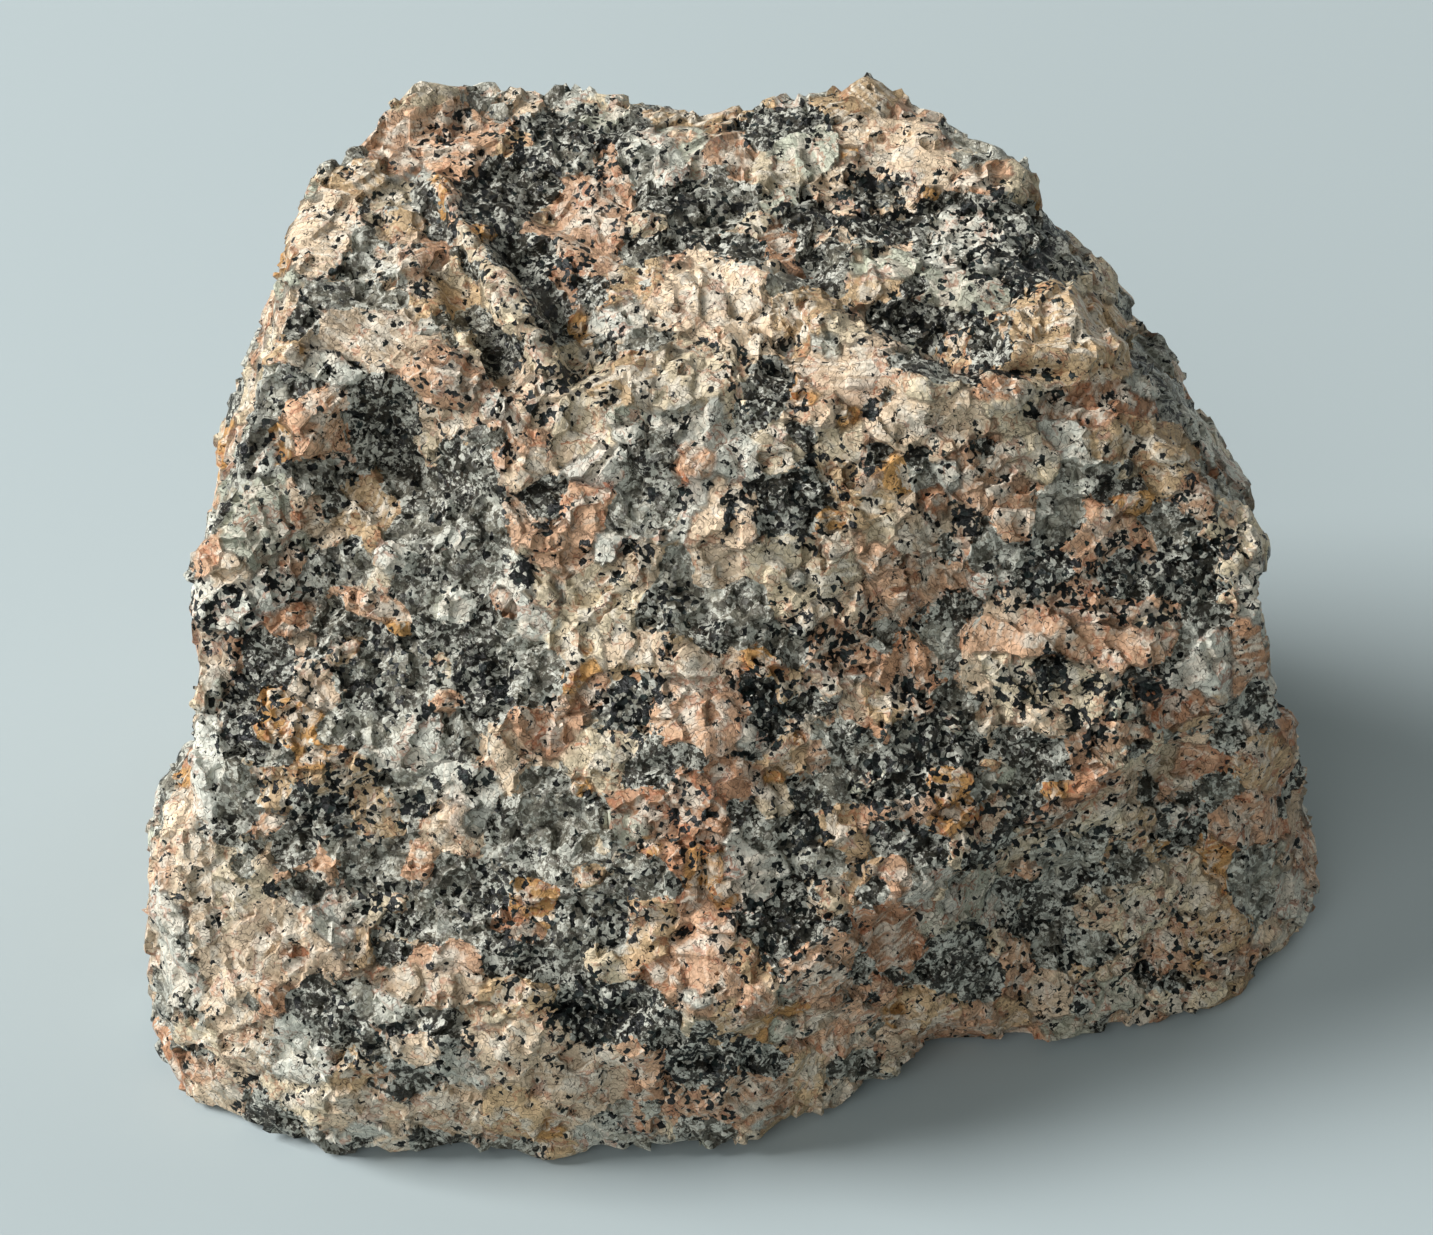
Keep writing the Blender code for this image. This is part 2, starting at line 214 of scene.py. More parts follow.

# The grains listed from the photograph: across and down in its pixels, width and
# height in pixels, and where it isn't level the turn in degrees, counter-clockwise
GRAINS = {
    "blush": (
        (329, 225, 60, 95), (282, 315, 35, 40), (374, 334, 118, 44), (728, 300, 95, 100),
        (898, 160, 108, 80), (527, 471, 45, 40), (640, 570, 40, 34), (635, 644, 44, 40),
        (711, 567, 40, 36), (686, 669, 40, 32), (931, 424, 100, 46), (307, 691, 60, 60),
        (274, 940, 85, 75), (207, 915, 34, 110), (194, 830, 26, 90), (230, 1000, 60, 60),
        (507, 1043, 60, 60), (593, 1071, 60, 50), (561, 1084, 50, 40), (539, 1043, 50, 50),
        (688, 676, 60, 40), (855, 367, 90, 66), (234, 576, 30, 40), (1038, 716, 45, 30),
        (1047, 997, 35, 35), (1227, 960, 40, 30), (845, 1097, 60, 40), (452, 819, 55, 58),
        (178, 870, 22, 120), (360, 1110, 90, 40), (450, 1110, 70, 40), (150, 950, 20, 80),
        (255, 1045, 60, 50), (420, 975, 70, 40), (1276, 933, 40, 40),
    ),
    "salmon": (
        (583, 210, 75, 100), (381, 143, 46, 40), (454, 202, 24, 36), (728, 154, 50, 40),
        (985, 180, 60, 20, 20), (317, 422, 55, 60), (443, 361, 40, 26), (290, 560, 26, 40),
        (377, 607, 70, 22, -24), (693, 458, 40, 50), (584, 503, 44, 40), (890, 560, 36, 30),
        (896, 584, 30, 40), (909, 606, 30, 26), (1014, 512, 34, 28), (1100, 614, 90, 26),
        (1041, 638, 120, 40), (1153, 641, 50, 26), (277, 934, 50, 50), (673, 708, 60, 60),
        (724, 717, 35, 58), (552, 721, 58, 50), (820, 756, 32, 36), (695, 902, 42, 32),
        (711, 931, 52, 60), (449, 701, 32, 18), (440, 957, 62, 26), (673, 976, 32, 26),
        (718, 979, 72, 46), (829, 1043, 38, 36), (743, 1100, 120, 44), (1253, 824, 82, 46),
        (1018, 980, 24, 34), (983, 1021, 54, 26), (829, 957, 18, 18), (874, 985, 22, 22),
        (1126, 733, 34, 26), (900, 812, 60, 30, 20), (760, 1000, 40, 30), (600, 690, 26, 30),
        (1310, 857, 30, 60), (464, 395, 20, 24),
    ),
    "brick": (
        (1009, 390, 46, 28), (1084, 405, 90, 34), (293, 953, 36, 36), (1173, 704, 30, 66, 80),
        (1285, 719, 16, 44), (891, 934, 62, 62), (1299, 857, 18, 40), (1238, 959, 64, 20, 25),
        (1097, 780, 44, 16, 42), (740, 775, 52, 40), (648, 804, 52, 30), (1056, 818, 60, 24, 20),
        (676, 855, 26, 32), (299, 518, 22, 20), (286, 620, 44, 34),
    ),
    "tan": (
        (692, 114, 110, 28), (870, 91, 60, 30), (870, 284, 50, 34), (1075, 327, 124, 72),
        (959, 343, 44, 30), (1169, 464, 56, 60, 30), (344, 778, 62, 32), (382, 810, 50, 46),
        (370, 518, 50, 50), (338, 652, 36, 30), (788, 756, 52, 40), (887, 705, 36, 48, 70),
        (740, 1014, 46, 42), (517, 1003, 72, 34), (840, 830, 46, 52), (360, 957, 24, 34),
        (590, 874, 28, 26), (870, 503, 50, 36), (1096, 437, 30, 24), (1261, 757, 50, 60),
        (1126, 437, 40, 34), (630, 376, 66, 60, 60), (1140, 920, 30, 30),
    ),
    "amber": (
        (464, 84, 30, 24), (572, 324, 24, 22), (586, 341, 22, 18), (855, 157, 24, 18), (877, 138, 20, 16),
        (903, 173, 22, 18), (931, 197, 22, 16), (801, 389, 30, 26), (844, 414, 24, 18),
        (826, 521, 22, 20), (1134, 501, 34, 30), (296, 708, 60, 62), (325, 752, 44, 24),
        (529, 902, 46, 36), (581, 788, 22, 22), (775, 778, 26, 32), (797, 737, 22, 18),
        (702, 867, 36, 42), (724, 896, 42, 32), (760, 662, 26, 20), (946, 789, 50, 36),
        (958, 817, 56, 24, 25), (275, 446, 22, 30), (296, 356, 26, 22), (1197, 956, 22, 20),
        (396, 628, 22, 18), (1056, 790, 26, 18), (898, 1018, 22, 18),
    ),
    "cream": (
        (426, 91, 60, 34), (470, 240, 62, 18, -59), (505, 295, 62, 20, -59), (535, 345, 60, 22, -59),
        (652, 223, 40, 34), (773, 173, 40, 34), (751, 225, 40, 24), (1096, 284, 60, 28),
        (693, 376, 108, 66), (775, 450, 54, 44), (780, 565, 44, 36), (890, 531, 40, 28),
        (604, 608, 70, 50), (788, 603, 40, 36), (1033, 456, 60, 40), (772, 797, 36, 30),
        (826, 893, 36, 36), (612, 963, 28, 22), (1162, 763, 26, 40), (1179, 780, 50, 12, -25),
        (1160, 876, 36, 30), (1144, 918, 52, 50), (1085, 895, 22, 20), (997, 942, 14, 32),
        (312, 1106, 50, 36), (443, 666, 24, 22), (1153, 622, 40, 18), (924, 386, 40, 22),
        (903, 1062, 34, 20), (610, 580, 40, 26), (1129, 959, 60, 12, 35), (490, 1010, 40, 26),
    ),
    "white": (
        (426, 329, 30, 24), (673, 166, 36, 40), (643, 154, 26, 20), (626, 315, 50, 40),
        (943, 232, 42, 30), (829, 345, 30, 26), (1148, 383, 36, 24), (396, 560, 30, 30),
        (451, 602, 36, 30), (328, 644, 28, 24), (597, 463, 50, 36), (627, 432, 36, 26),
        (958, 475, 30, 24), (1210, 668, 50, 60, 70), (344, 912, 36, 32), (293, 1052, 70, 60),
        (754, 740, 28, 28), (262, 458, 20, 22), (411, 746, 74, 42, 20), (539, 1043, 30, 30),
        (699, 995, 28, 18), (460, 790, 60, 44), (207, 770, 22, 90), (800, 580, 26, 22),
        (330, 930, 44, 16, -50), (330, 366, 44, 34), (1247, 727, 22, 20), (470, 820, 30, 30),
    ),
    "sage": (
        (315, 187, 18, 24), (780, 199, 34, 24), (962, 287, 90, 38), (265, 530, 74, 78),
        (213, 690, 24, 40), (632, 826, 50, 30), (784, 1027, 32, 26), (791, 998, 30, 24),
        (936, 918, 42, 26), (1162, 877, 26, 22), (1068, 1030, 40, 26), (1123, 991, 46, 30),
        (871, 781, 50, 14, 25), (1126, 710, 18, 26), (953, 725, 26, 22),
    ),
    "pale quartz": (
        (640, 166, 36, 28), (358, 239, 20, 20), (369, 270, 24, 22), (494, 253, 40, 24),
        (777, 287, 36, 36), (645, 336, 30, 24), (268, 393, 42, 46), (411, 534, 40, 36),
        (349, 560, 40, 36), (1076, 467, 46, 30), (1068, 512, 60, 44), (926, 475, 34, 24),
        (877, 634, 40, 34), (363, 1001, 30, 24), (331, 730, 40, 40), (382, 730, 40, 36),
        (277, 756, 34, 24), (395, 858, 40, 30), (331, 851, 30, 26), (245, 870, 30, 36),
        (900, 730, 24, 24), (443, 667, 24, 22), (1254, 876, 44, 76), (1097, 945, 36, 30),
        (678, 570, 40, 34), (635, 514, 36, 34), (349, 840, 30, 20),
    ),
    "smoky quartz": (
        (350, 300, 98, 34), (964, 256, 46, 26), (834, 260, 36, 50), (417, 484, 50, 34),
        (485, 440, 50, 32), (485, 521, 52, 40), (464, 570, 76, 36), (255, 440, 34, 50),
        (537, 667, 50, 46), (385, 670, 92, 44), (750, 618, 60, 46), (950, 552, 36, 44),
        (987, 552, 30, 44), (558, 822, 86, 94), (539, 781, 40, 30), (344, 676, 34, 28),
        (411, 679, 46, 40), (535, 689, 42, 40), (299, 848, 36, 30), (350, 858, 50, 44),
        (303, 890, 32, 36), (456, 877, 52, 50), (440, 912, 70, 46), (405, 883, 36, 26),
        (468, 931, 32, 30), (619, 915, 42, 42), (584, 912, 52, 42), (641, 883, 60, 50),
        (766, 835, 42, 42), (1126, 862, 36, 48), (1182, 989, 36, 26), (1030, 566, 40, 36),
        (665, 608, 50, 34), (1219, 789, 40, 34), (1056, 942, 36, 40), (590, 840, 20, 40),
        (245, 998, 36, 26), (790, 840, 30, 30), (1254, 850, 40, 30), (665, 509, 24, 22),
        (320, 820, 40, 40), (280, 807, 30, 24), (959, 707, 50, 38), (873, 189, 66, 34),
        (699, 222, 80, 30), (789, 285, 38, 40, -50), (647, 337, 56, 34), (570, 160, 50, 30),
        (740, 190, 40, 22),
    ),
    "dark quartz": (
        (447, 138, 30, 20), (424, 204, 40, 40), (504, 261, 60, 28), (487, 200, 60, 74),
        (543, 300, 90, 26, -60), (678, 201, 76, 34), (669, 244, 40, 24), (787, 117, 40, 34),
        (758, 138, 34, 24), (815, 216, 50, 40), (740, 253, 46, 34), (1044, 225, 86, 44),
        (995, 249, 30, 24), (919, 287, 40, 20), (921, 327, 90, 48), (910, 367, 70, 18),
        (380, 411, 78, 54), (411, 470, 34, 40), (333, 503, 30, 28), (762, 389, 54, 50),
        (757, 419, 30, 24), (801, 435, 34, 28), (877, 452, 34, 28), (788, 498, 76, 62),
        (716, 631, 34, 30), (762, 687, 36, 28), (1172, 408, 34, 24), (984, 456, 28, 26),
        (920, 453, 24, 22), (1041, 566, 60, 40), (1121, 566, 52, 44), (1201, 566, 70, 60),
        (1201, 609, 44, 30), (1046, 676, 44, 30), (262, 652, 70, 60), (242, 700, 40, 42),
        (281, 678, 28, 24), (425, 623, 40, 28), (456, 636, 36, 30), (485, 607, 30, 26),
        (363, 695, 34, 30), (357, 744, 26, 20), (488, 689, 50, 44), (328, 807, 30, 26),
        (299, 794, 36, 28), (306, 839, 30, 24), (488, 896, 50, 40), (405, 925, 34, 22),
        (389, 950, 40, 28), (507, 950, 46, 36), (532, 966, 44, 24), (446, 1033, 36, 36),
        (424, 1081, 30, 26), (593, 1016, 82, 54), (657, 1033, 30, 26), (648, 765, 58, 44),
        (683, 752, 26, 22), (743, 807, 30, 28), (810, 794, 32, 28), (801, 832, 30, 40),
        (791, 922, 90, 80), (865, 765, 28, 24), (842, 740, 20, 36), (893, 823, 36, 36),
        (936, 748, 70, 58), (898, 780, 52, 44), (1030, 748, 52, 50), (1056, 766, 30, 26),
        (1144, 789, 36, 40), (1188, 798, 30, 28), (1162, 824, 20, 32), (1194, 830, 22, 36),
        (1012, 889, 52, 28), (977, 859, 70, 22, 30), (959, 971, 72, 66), (1027, 918, 46, 36),
        (1220, 786, 28, 26), (705, 1075, 66, 52), (864, 1001, 28, 16), (890, 973, 22, 24),
        (1085, 1003, 30, 22), (900, 800, 34, 30), (1135, 751, 26, 18), (877, 890, 30, 22),
        (1258, 698, 22, 40), (640, 1000, 24, 24), (1047, 675, 30, 24), (700, 1027, 20, 14),
        (261, 752, 24, 20), (252, 851, 22, 18), (1097, 830, 34, 24), (1179, 987, 30, 24),
        (625, 124, 44, 30), (570, 128, 60, 24), (802, 118, 44, 30), (812, 218, 44, 24),
        (880, 231, 86, 26, -15), (821, 262, 76, 34, -35), (596, 285, 42, 18, -30), (519, 160, 70, 20),
        (544, 190, 44, 40), (541, 250, 40, 34), (509, 253, 60, 36, -40), (1030, 262, 60, 56),
        (989, 343, 50, 30), (905, 363, 66, 18), (500, 350, 34, 74, -20), (960, 205, 60, 14),
    ),
}

# Single crystals of mica, as black as soot with a painted teal glint: across, down and width in pixels
MICA = (
    (464, 114, 16), (350, 171, 13), (393, 168, 15), (336, 269, 13), (306, 302, 14), (289, 327, 12),
    (421, 289, 20), (384, 200, 13), (405, 192, 13), (382, 222, 11), (532, 288, 14), (677, 322, 16),
    (699, 341, 14), (716, 348, 14), (780, 341, 16), (810, 320, 13), (867, 183, 14), (898, 199, 12),
    (999, 192, 16), (971, 209, 14), (983, 320, 18), (976, 374, 20), (1056, 388, 15), (1030, 409, 14),
    (333, 369, 14), (354, 361, 12), (396, 429, 15), (315, 466, 14), (351, 476, 14), (503, 450, 16),
    (432, 523, 16), (414, 513, 12), (524, 573, 26), (498, 691, 16), (568, 371, 22), (709, 343, 14),
    (778, 343, 16), (773, 366, 15), (645, 424, 16), (683, 419, 16), (867, 412, 18), (558, 509, 18),
    (681, 498, 18), (648, 493, 13), (665, 473, 13), (806, 547, 18), (811, 458, 15), (589, 544, 14),
    (630, 549, 14), (648, 554, 13), (617, 572, 13), (665, 651, 18), (630, 687, 15), (979, 378, 16),
    (1057, 389, 14), (1108, 400, 13), (1193, 483, 16), (1180, 499, 13), (966, 518, 24), (920, 622, 15),
    (915, 638, 13), (907, 686, 16), (417, 807, 26), (459, 775, 16), (472, 784, 18), (484, 775, 14),
    (432, 783, 14), (405, 826, 12), (328, 807, 24), (261, 781, 14), (274, 883, 16), (248, 1078, 14),
    (236, 1074, 11), (242, 1103, 12), (638, 845, 14), (630, 1071, 12), (778, 1065, 12), (794, 721, 18),
    (772, 740, 12), (587, 797, 14), (858, 861, 18), (1144, 962, 18), (1021, 692, 18), (1062, 690, 14),
    (398, 1030, 22), (376, 1052, 22), (1228, 544, 24), (1150, 689, 26), (430, 711, 16), (555, 1017, 22),
    (746, 352, 13), (546, 520, 13), (700, 590, 12), (840, 660, 14), (1000, 600, 16), (1090, 690, 18),
)

# Long blades of mica: across, down, length, width and turn
MICA_BLADES = (
    (534, 411, 52, 12, -58), (729, 514, 44, 13, 84), (683, 934, 22, 8, 30), (607, 447, 22, 5, -60),
    (702, 869, 34, 6, 86), (746, 752, 30, 6, -8), (1016, 369, 90, 7, -4),
)

# Nests of fine mica between and inside other grains: across, down, width, height and how dense
MICA_NESTS = (
    (567, 265, 42, 36, 0.8), (487, 200, 66, 76, 0.5), (1037, 272, 50, 40, 0.7), (447, 138, 34, 24, 0.6),
    (221, 615, 40, 52, 0.7), (273, 589, 30, 26, 0.7), (341, 670, 50, 40, 0.5), (385, 670, 90, 50, 0.4),
    (665, 608, 50, 36, 0.5), (826, 636, 76, 60, 0.6), (1041, 566, 60, 44, 0.5), (1121, 566, 54, 46, 0.6),
    (1201, 566, 72, 62, 0.5), (1068, 598, 60, 24, 0.8), (1129, 611, 50, 22, 0.7), (632, 705, 40, 50, 0.9),
    (766, 698, 46, 46, 0.9), (692, 829, 34, 50, 0.8), (900, 788, 60, 80, 0.6), (936, 748, 70, 60, 0.6),
    (801, 832, 40, 50, 0.6), (791, 922, 90, 80, 0.4), (382, 899, 40, 34, 0.8), (488, 896, 50, 44, 0.6),
    (507, 950, 50, 40, 0.6), (1097, 710, 40, 52, 0.7), (1021, 692, 60, 30, 0.8), (593, 1016, 84, 56, 0.7),
    (705, 1075, 68, 56, 0.6), (340, 800, 80, 60, 0.5), (242, 705, 60, 60, 0.5), (488, 689, 54, 50, 0.6),
    (762, 389, 56, 52, 0.4), (788, 498, 80, 64, 0.4), (1088, 718, 34, 42, 0.8), (909, 689, 30, 34, 0.8),
    (1046, 676, 50, 30, 0.5), (1153, 681, 30, 30, 0.6), (255, 440, 40, 60, 0.4), (380, 411, 80, 56, 0.3),
    (1020, 830, 160, 60, 0.4), (640, 883, 70, 60, 0.3), (300, 560, 60, 60, 0.2),
    (500, 1040, 300, 60, 0.15), (1120, 960, 200, 80, 0.3), (610, 915, 90, 50, 0.4),
    (470, 400, 120, 80, 0.15), (900, 470, 120, 60, 0.25), (560, 150, 120, 60, 0.45),
    (700, 215, 130, 50, 0.5), (870, 205, 110, 50, 0.6), (790, 120, 80, 30, 0.5), (1010, 255, 90, 60, 0.6),
    (930, 330, 110, 50, 0.45), (570, 355, 90, 70, 0.4), (500, 350, 60, 90, 0.35),
)

# Rusty stain along cracks and grain rims: across, down, width, height and how strong
RUST = (
    (428, 230, 24, 20, 0.7), (440, 246, 24, 20, 0.7), (810, 279, 34, 16, 0.8), (865, 392, 40, 26, 0.9),
    (568, 450, 20, 20, 0.8), (599, 483, 40, 14, 0.8), (686, 486, 24, 20, 0.8), (752, 534, 26, 26, 0.5),
    (555, 746, 34, 20, 1.0), (540, 735, 30, 30, 0.6), (716, 743, 16, 12, 0.9), (676, 872, 26, 34, 1.0),
    (702, 857, 40, 30, 0.6), (727, 909, 36, 26, 0.7), (454, 813, 10, 40, 0.9), (271, 858, 16, 14, 0.8),
    (855, 950, 14, 14, 1.0), (644, 966, 22, 22, 0.7), (1097, 780, 60, 20, 0.7), (921, 327, 90, 50, 0.4),
    (800, 380, 60, 40, 0.4), (1100, 600, 200, 70, 0.3), (958, 817, 90, 50, 0.5), (1084, 785, 70, 40, 0.6),
    (900, 900, 160, 160, 0.4), (1250, 800, 140, 200, 0.5), (1000, 1020, 300, 90, 0.35),
    (560, 700, 60, 60, 0.4), (690, 870, 120, 120, 0.35), (1173, 704, 40, 70, 0.7),
    (340, 700, 60, 60, 0.3), (640, 486, 200, 80, 0.15), (300, 518, 24, 24, 0.5), (740, 700, 60, 70, 0.3),
    (780, 780, 80, 50, 0.4), (360, 960, 60, 50, 0.35),
)

# Crushed white feldspar powder: across, down, width, height, turn and how strong
CRUSH = (
    (374, 256, 80, 12, -52, 1.0), (207, 770, 26, 160, 0, 0.8), (293, 1052, 80, 60, 0, 0.7),
    (470, 640, 70, 60, 0, 0.4), (616, 938, 30, 22, 0, 0.9), (520, 858, 60, 40, 0, 0.6),
    (1100, 500, 120, 50, 0, 0.4), (1020, 430, 120, 50, 0, 0.35), (430, 800, 110, 80, 0, 0.5),
    (340, 366, 60, 40, 0, 0.5), (860, 640, 60, 60, 0, 0.5), (500, 560, 120, 60, 0, 0.35),
    (250, 470, 40, 90, 0, 0.4), (280, 790, 60, 60, 0, 0.4), (1180, 660, 90, 70, 70, 0.5),
    (600, 700, 40, 40, 0, 0.5), (556, 810, 80, 90, 0, 0.25), (960, 660, 90, 60, 0, 0.4),
)

# Crests and clefts finer than the solid has: how high (a cleft is below zero) and how wide, both in
# millimetres, and the points that they run through in the photograph
CRESTS = {
    "cream rib": (1.6, 1.5, ((439, 189), (470, 240), (505, 296), (550, 374))),
    "valley beside the rib": (-1.4, 2.0, ((513, 240), (545, 300), (575, 358))),
    "ledge below the plate": (-1.3, 0.8, ((1012, 366), (1060, 372), (1116, 366), (1136, 350))),
    "lip of the plate": (0.7, 1.2, ((1016, 350), (1070, 358), (1122, 350))),
    "upper ridge": (1.3, 1.6, ((739, 270), (830, 330), (937, 396), (1004, 408))),
    "white crest": (0.9, 1.0, ((312, 918), (330, 942), (350, 972))),
    "belt ledge": (1.2, 1.6, ((1120, 752), (1060, 795), (1000, 832), (930, 868), (870, 905))),
    "under the belt": (-1.4, 1.8, ((1100, 800), (1030, 850), (960, 890))),
    "brown recess": (-1.2, 0.8, ((537, 1070), (534, 1106))),
    "black notch": (-1.6, 2.2, ((575, 1002), (605, 1024), (632, 1010))),
    "left groove": (-1.3, 1.6, ((454, 282), (490, 340), (513, 385))),
    "fan plate low": (0.7, 0.9, ((600, 400), (630, 372), (664, 352))),
    "fan plate high": (0.6, 0.8, ((618, 412), (650, 386), (690, 362))),
    "striated plate": (0.7, 1.0, ((1150, 440), (1176, 462), (1204, 492))),
    "striated white": (0.6, 0.9, ((1196, 640), (1206, 672), (1218, 704))),
    "dark lens": (-0.8, 0.8, ((676, 938), (690, 930))),
    "cleft in the amber": (-0.9, 0.5, ((703, 856), (702, 884))),
}


def linear(colour):
    """A colour written as an sRGB hex value, as linear light with full cover."""
    parts = [int(colour[place:place + 2], 16) / 255 for place in (1, 3, 5)]
    return tuple(c / 12.92 if c <= 0.04045 else ((c + 0.055) / 1.055) ** 2.4 for c in parts) + (1.0,)


def view_axes():
    """The camera's place and its right, up and backward directions, in millimetres."""
    back = np.array((0.0, -math.cos(VIEW_RISE), math.sin(VIEW_RISE)))
    up = np.array((0.0, math.sin(VIEW_RISE), math.cos(VIEW_RISE)))
    return VIEW_AIM + VIEW_DISTANCE * back, np.array((1.0, 0.0, 0.0)), up, back


def sight_line(across, down):
    """The direction from the camera through one pixel of the photograph."""
    _, right, up, back = view_axes()
    focal = LENS / SENSOR * PHOTO_WIDTH
    line = right * (across - PHOTO_WIDTH / 2) / focal - up * (down - PHOTO_HEIGHT / 2) / focal - back
    return line / np.linalg.norm(line)


def spot_on_stone(tree, across, down):
    """Where a pixel's sight line first meets the stone, and how many pixels a millimetre takes there."""
    eye, _, _, back = view_axes()
    line = sight_line(across, down)
    spot = tree.ray_cast(Vector(eye), Vector(line))[0]
    if spot is None:
        spot = tree.find_nearest(Vector(eye + line * VIEW_DISTANCE))[0]
    spot = np.array(spot)
    depth = float(np.dot(eye - spot, back))
    return spot, LENS / SENSOR * PHOTO_WIDTH / depth


def measure_frame(across, down, turn):
    """Three axes for measuring round a pixel: along its turn, across it, and along the sight line."""
    _, right, _, _ = view_axes()
    line = sight_line(across, down)
    level = right - line * np.dot(right, line)
    level /= np.linalg.norm(level)
    rise = np.cross(level, line)
    lean = math.radians(turn)
    return np.array((
        level * math.cos(lean) + rise * math.sin(lean),
        rise * math.cos(lean) - level * math.sin(lean),
        line,
    ))


def landmark(tree, across, down, width, height, turn=0):
    """The centre of a grain in the photograph, and the matrix that measures points in its half lengths."""
    spot, pixels = spot_on_stone(tree, across, down)
    half = np.array((width, height)) / 2 / pixels
    reach = np.array((half[0], half[1], GRAIN_DEPTH * max(half)))
    return spot, measure_frame(across, down, turn) / reach[:, None]


def cell_numbers(cells, seed):
    """A number from 0 to 1 for each whole-numbered cell, always the same for the same cell and seed."""
    mixed = cells[..., 0] * 73856093 ^ cells[..., 1] * 19349663 ^ cells[..., 2] * 83492791
    mixed = (mixed ^ seed * 2654435761) & 0xFFFFFFFF
    mixed = ((mixed ^ mixed >> 15) * 2246822519) & 0xFFFFFFFF
    mixed = ((mixed ^ mixed >> 13) * 3266489917) & 0xFFFFFFFF
    return ((mixed ^ mixed >> 16) & 0xFFFFFF) / 0xFFFFFF


def cloud(points, size, seed):
    """Smooth noise from -1 to 1, with lumps of that size."""
    scaled = points / size
    base = np.floor(scaled).astype(np.int64)
    share = scaled - base
    share = share * share * (3 - 2 * share)
    total = np.zeros(len(points))
    for corner in itertools.product((0, 1), repeat=3):
        weight = np.prod(np.where(corner, share, 1 - share), axis=1)
        total += weight * cell_numbers(base + corner, seed)
    return 2 * total - 1


def stirred(points, size, amount, seed):
    """The points moved about by smooth noise, so that a rule applied to them loses its straight lines."""
    return points + amount * np.stack([cloud(points, size, seed + axis) for axis in range(3)], axis=1)


def crumbs(points, size, seed):
    """Packed crumbs of that size: each point's offset from its crumb's middle, and the crumb's numbers."""
    scaled = points / size
    base = np.floor(scaled).astype(np.int64)
    nearest = np.full(len(points), 9.0)
    offset = np.zeros(points.shape)
    home = base.copy()
    for step in itertools.product((-1, 0, 1), repeat=3):
        cell = base + step
        middle = cell + np.stack([cell_numbers(cell, seed + axis) for axis in range(3)], axis=1)
        gap = scaled - middle
        away = np.einsum("ij,ij->i", gap, gap)
        closer = away < nearest
        nearest[closer] = away[closer]
        offset[closer] = gap[closer]
        home[closer] = cell[closer]
    numbers = np.stack([cell_numbers(home, seed + 3 + axis) for axis in range(3)], axis=1)
    return offset * size, numbers


def pick_kind(number):
    """The kind of grain that a number from 0 to 1 stands for, by the kinds' shares."""
    totals = itertools.accumulate(share for _, _, share in KINDS.values())
    return next(kind for kind, total in zip(KINDS, totals) if number < total)


def random_turn(rng):
    """Three square axes that point anywhere."""
    axes, _ = np.linalg.qr(rng.normal(size=(3, 3)))
    return axes


def list_grains(tree):
    """Every grain that shows: kind, centre, measuring matrix, the lie of its cleavage, and a number."""
    rng = np.random.default_rng(GRAIN_SEED)
    grains = []
    for kind, places in GRAINS.items():
        for place in places:
            centre, matrix = landmark(tree, *place)
            grains.append((kind, centre, matrix))
    _, centres, matrices = (np.array(column) for column in zip(*grains))
    low, high = (np.array(corner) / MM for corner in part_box(NODE))
    counts = np.ceil((high - low) / FILL_SPACING).astype(int) + 1
    for cell in itertools.product(*(range(count) for count in counts)):
        spot = low + (np.array(cell) + rng.uniform(-0.5, 0.5, 3)) * FILL_SPACING
        half = rng.uniform(*FILL_HALF) * rng.uniform(*FILL_SHAPE, 3)
        axes = random_turn(rng)
        number = rng.uniform()
        if tree.find_nearest(Vector(spot), FILL_NEAR * float(max(half)))[0] is None:
            continue
        away = np.linalg.norm(np.einsum("nij,nj->ni", matrices, spot - centres), axis=1)
        if away.min() >= FILL_CLEAR:
            grains.append((pick_kind(number), spot, axes / half[:, None]))
    return [grain + (random_turn(rng), rng.uniform(size=2)[1]) for grain in grains]


def survey(points, grains, extras):
    """What the rock is made of at each point."""
    bent = stirred(stirred(points, *BROAD_STIR), *FINE_STIR)
    order = np.argsort(bent[:, 0])
    across = bent[order, 0]

    def measured(centre, matrix, most):
        """The points within that many half lengths of a centre, and how many each is away."""
        limit = most / np.linalg.norm(matrix, axis=1).min()
        first, last = np.searchsorted(across, (centre[0] - limit, centre[0] + limit))
        near = order[first:last]
        away = np.linalg.norm((bent[near] - centre) @ matrix.T, axis=1)
        return near[away < most], away[away < most]

    count = len(points)
    reach = {mineral: np.full(count, OUT_OF_REACH) for mineral in ("feldspar", "quartz")}
    owner = {mineral: np.zeros(count, int) for mineral in reach}
    for index, (kind, centre, matrix, _, _) in enumerate(grains):
        mineral = KINDS[kind][0]
        near, away = measured(centre, matrix, GRAIN_LIMIT)
        closer = away < reach[mineral][near]
        reach[mineral][near[closer]] = away[closer]
        owner[mineral][near[closer]] = index
    quartz = reach["quartz"] < reach["feldspar"]
    found = {
        "reach": reach,
        "owner": owner,
        "quartz": quartz,
        "grain": np.where(quartz, owner["quartz"], owner["feldspar"]),
    }
    for name, spots in extras.items():
        field = np.zeros(count)
        for centre, matrix, strength in spots:
            near, away = measured(centre, matrix, STAIN_LIMIT)
            field[near] = np.maximum(field[near], strength * np.clip(1.6 - 0.8 * away, 0, 1))
        found[name] = field
    return found


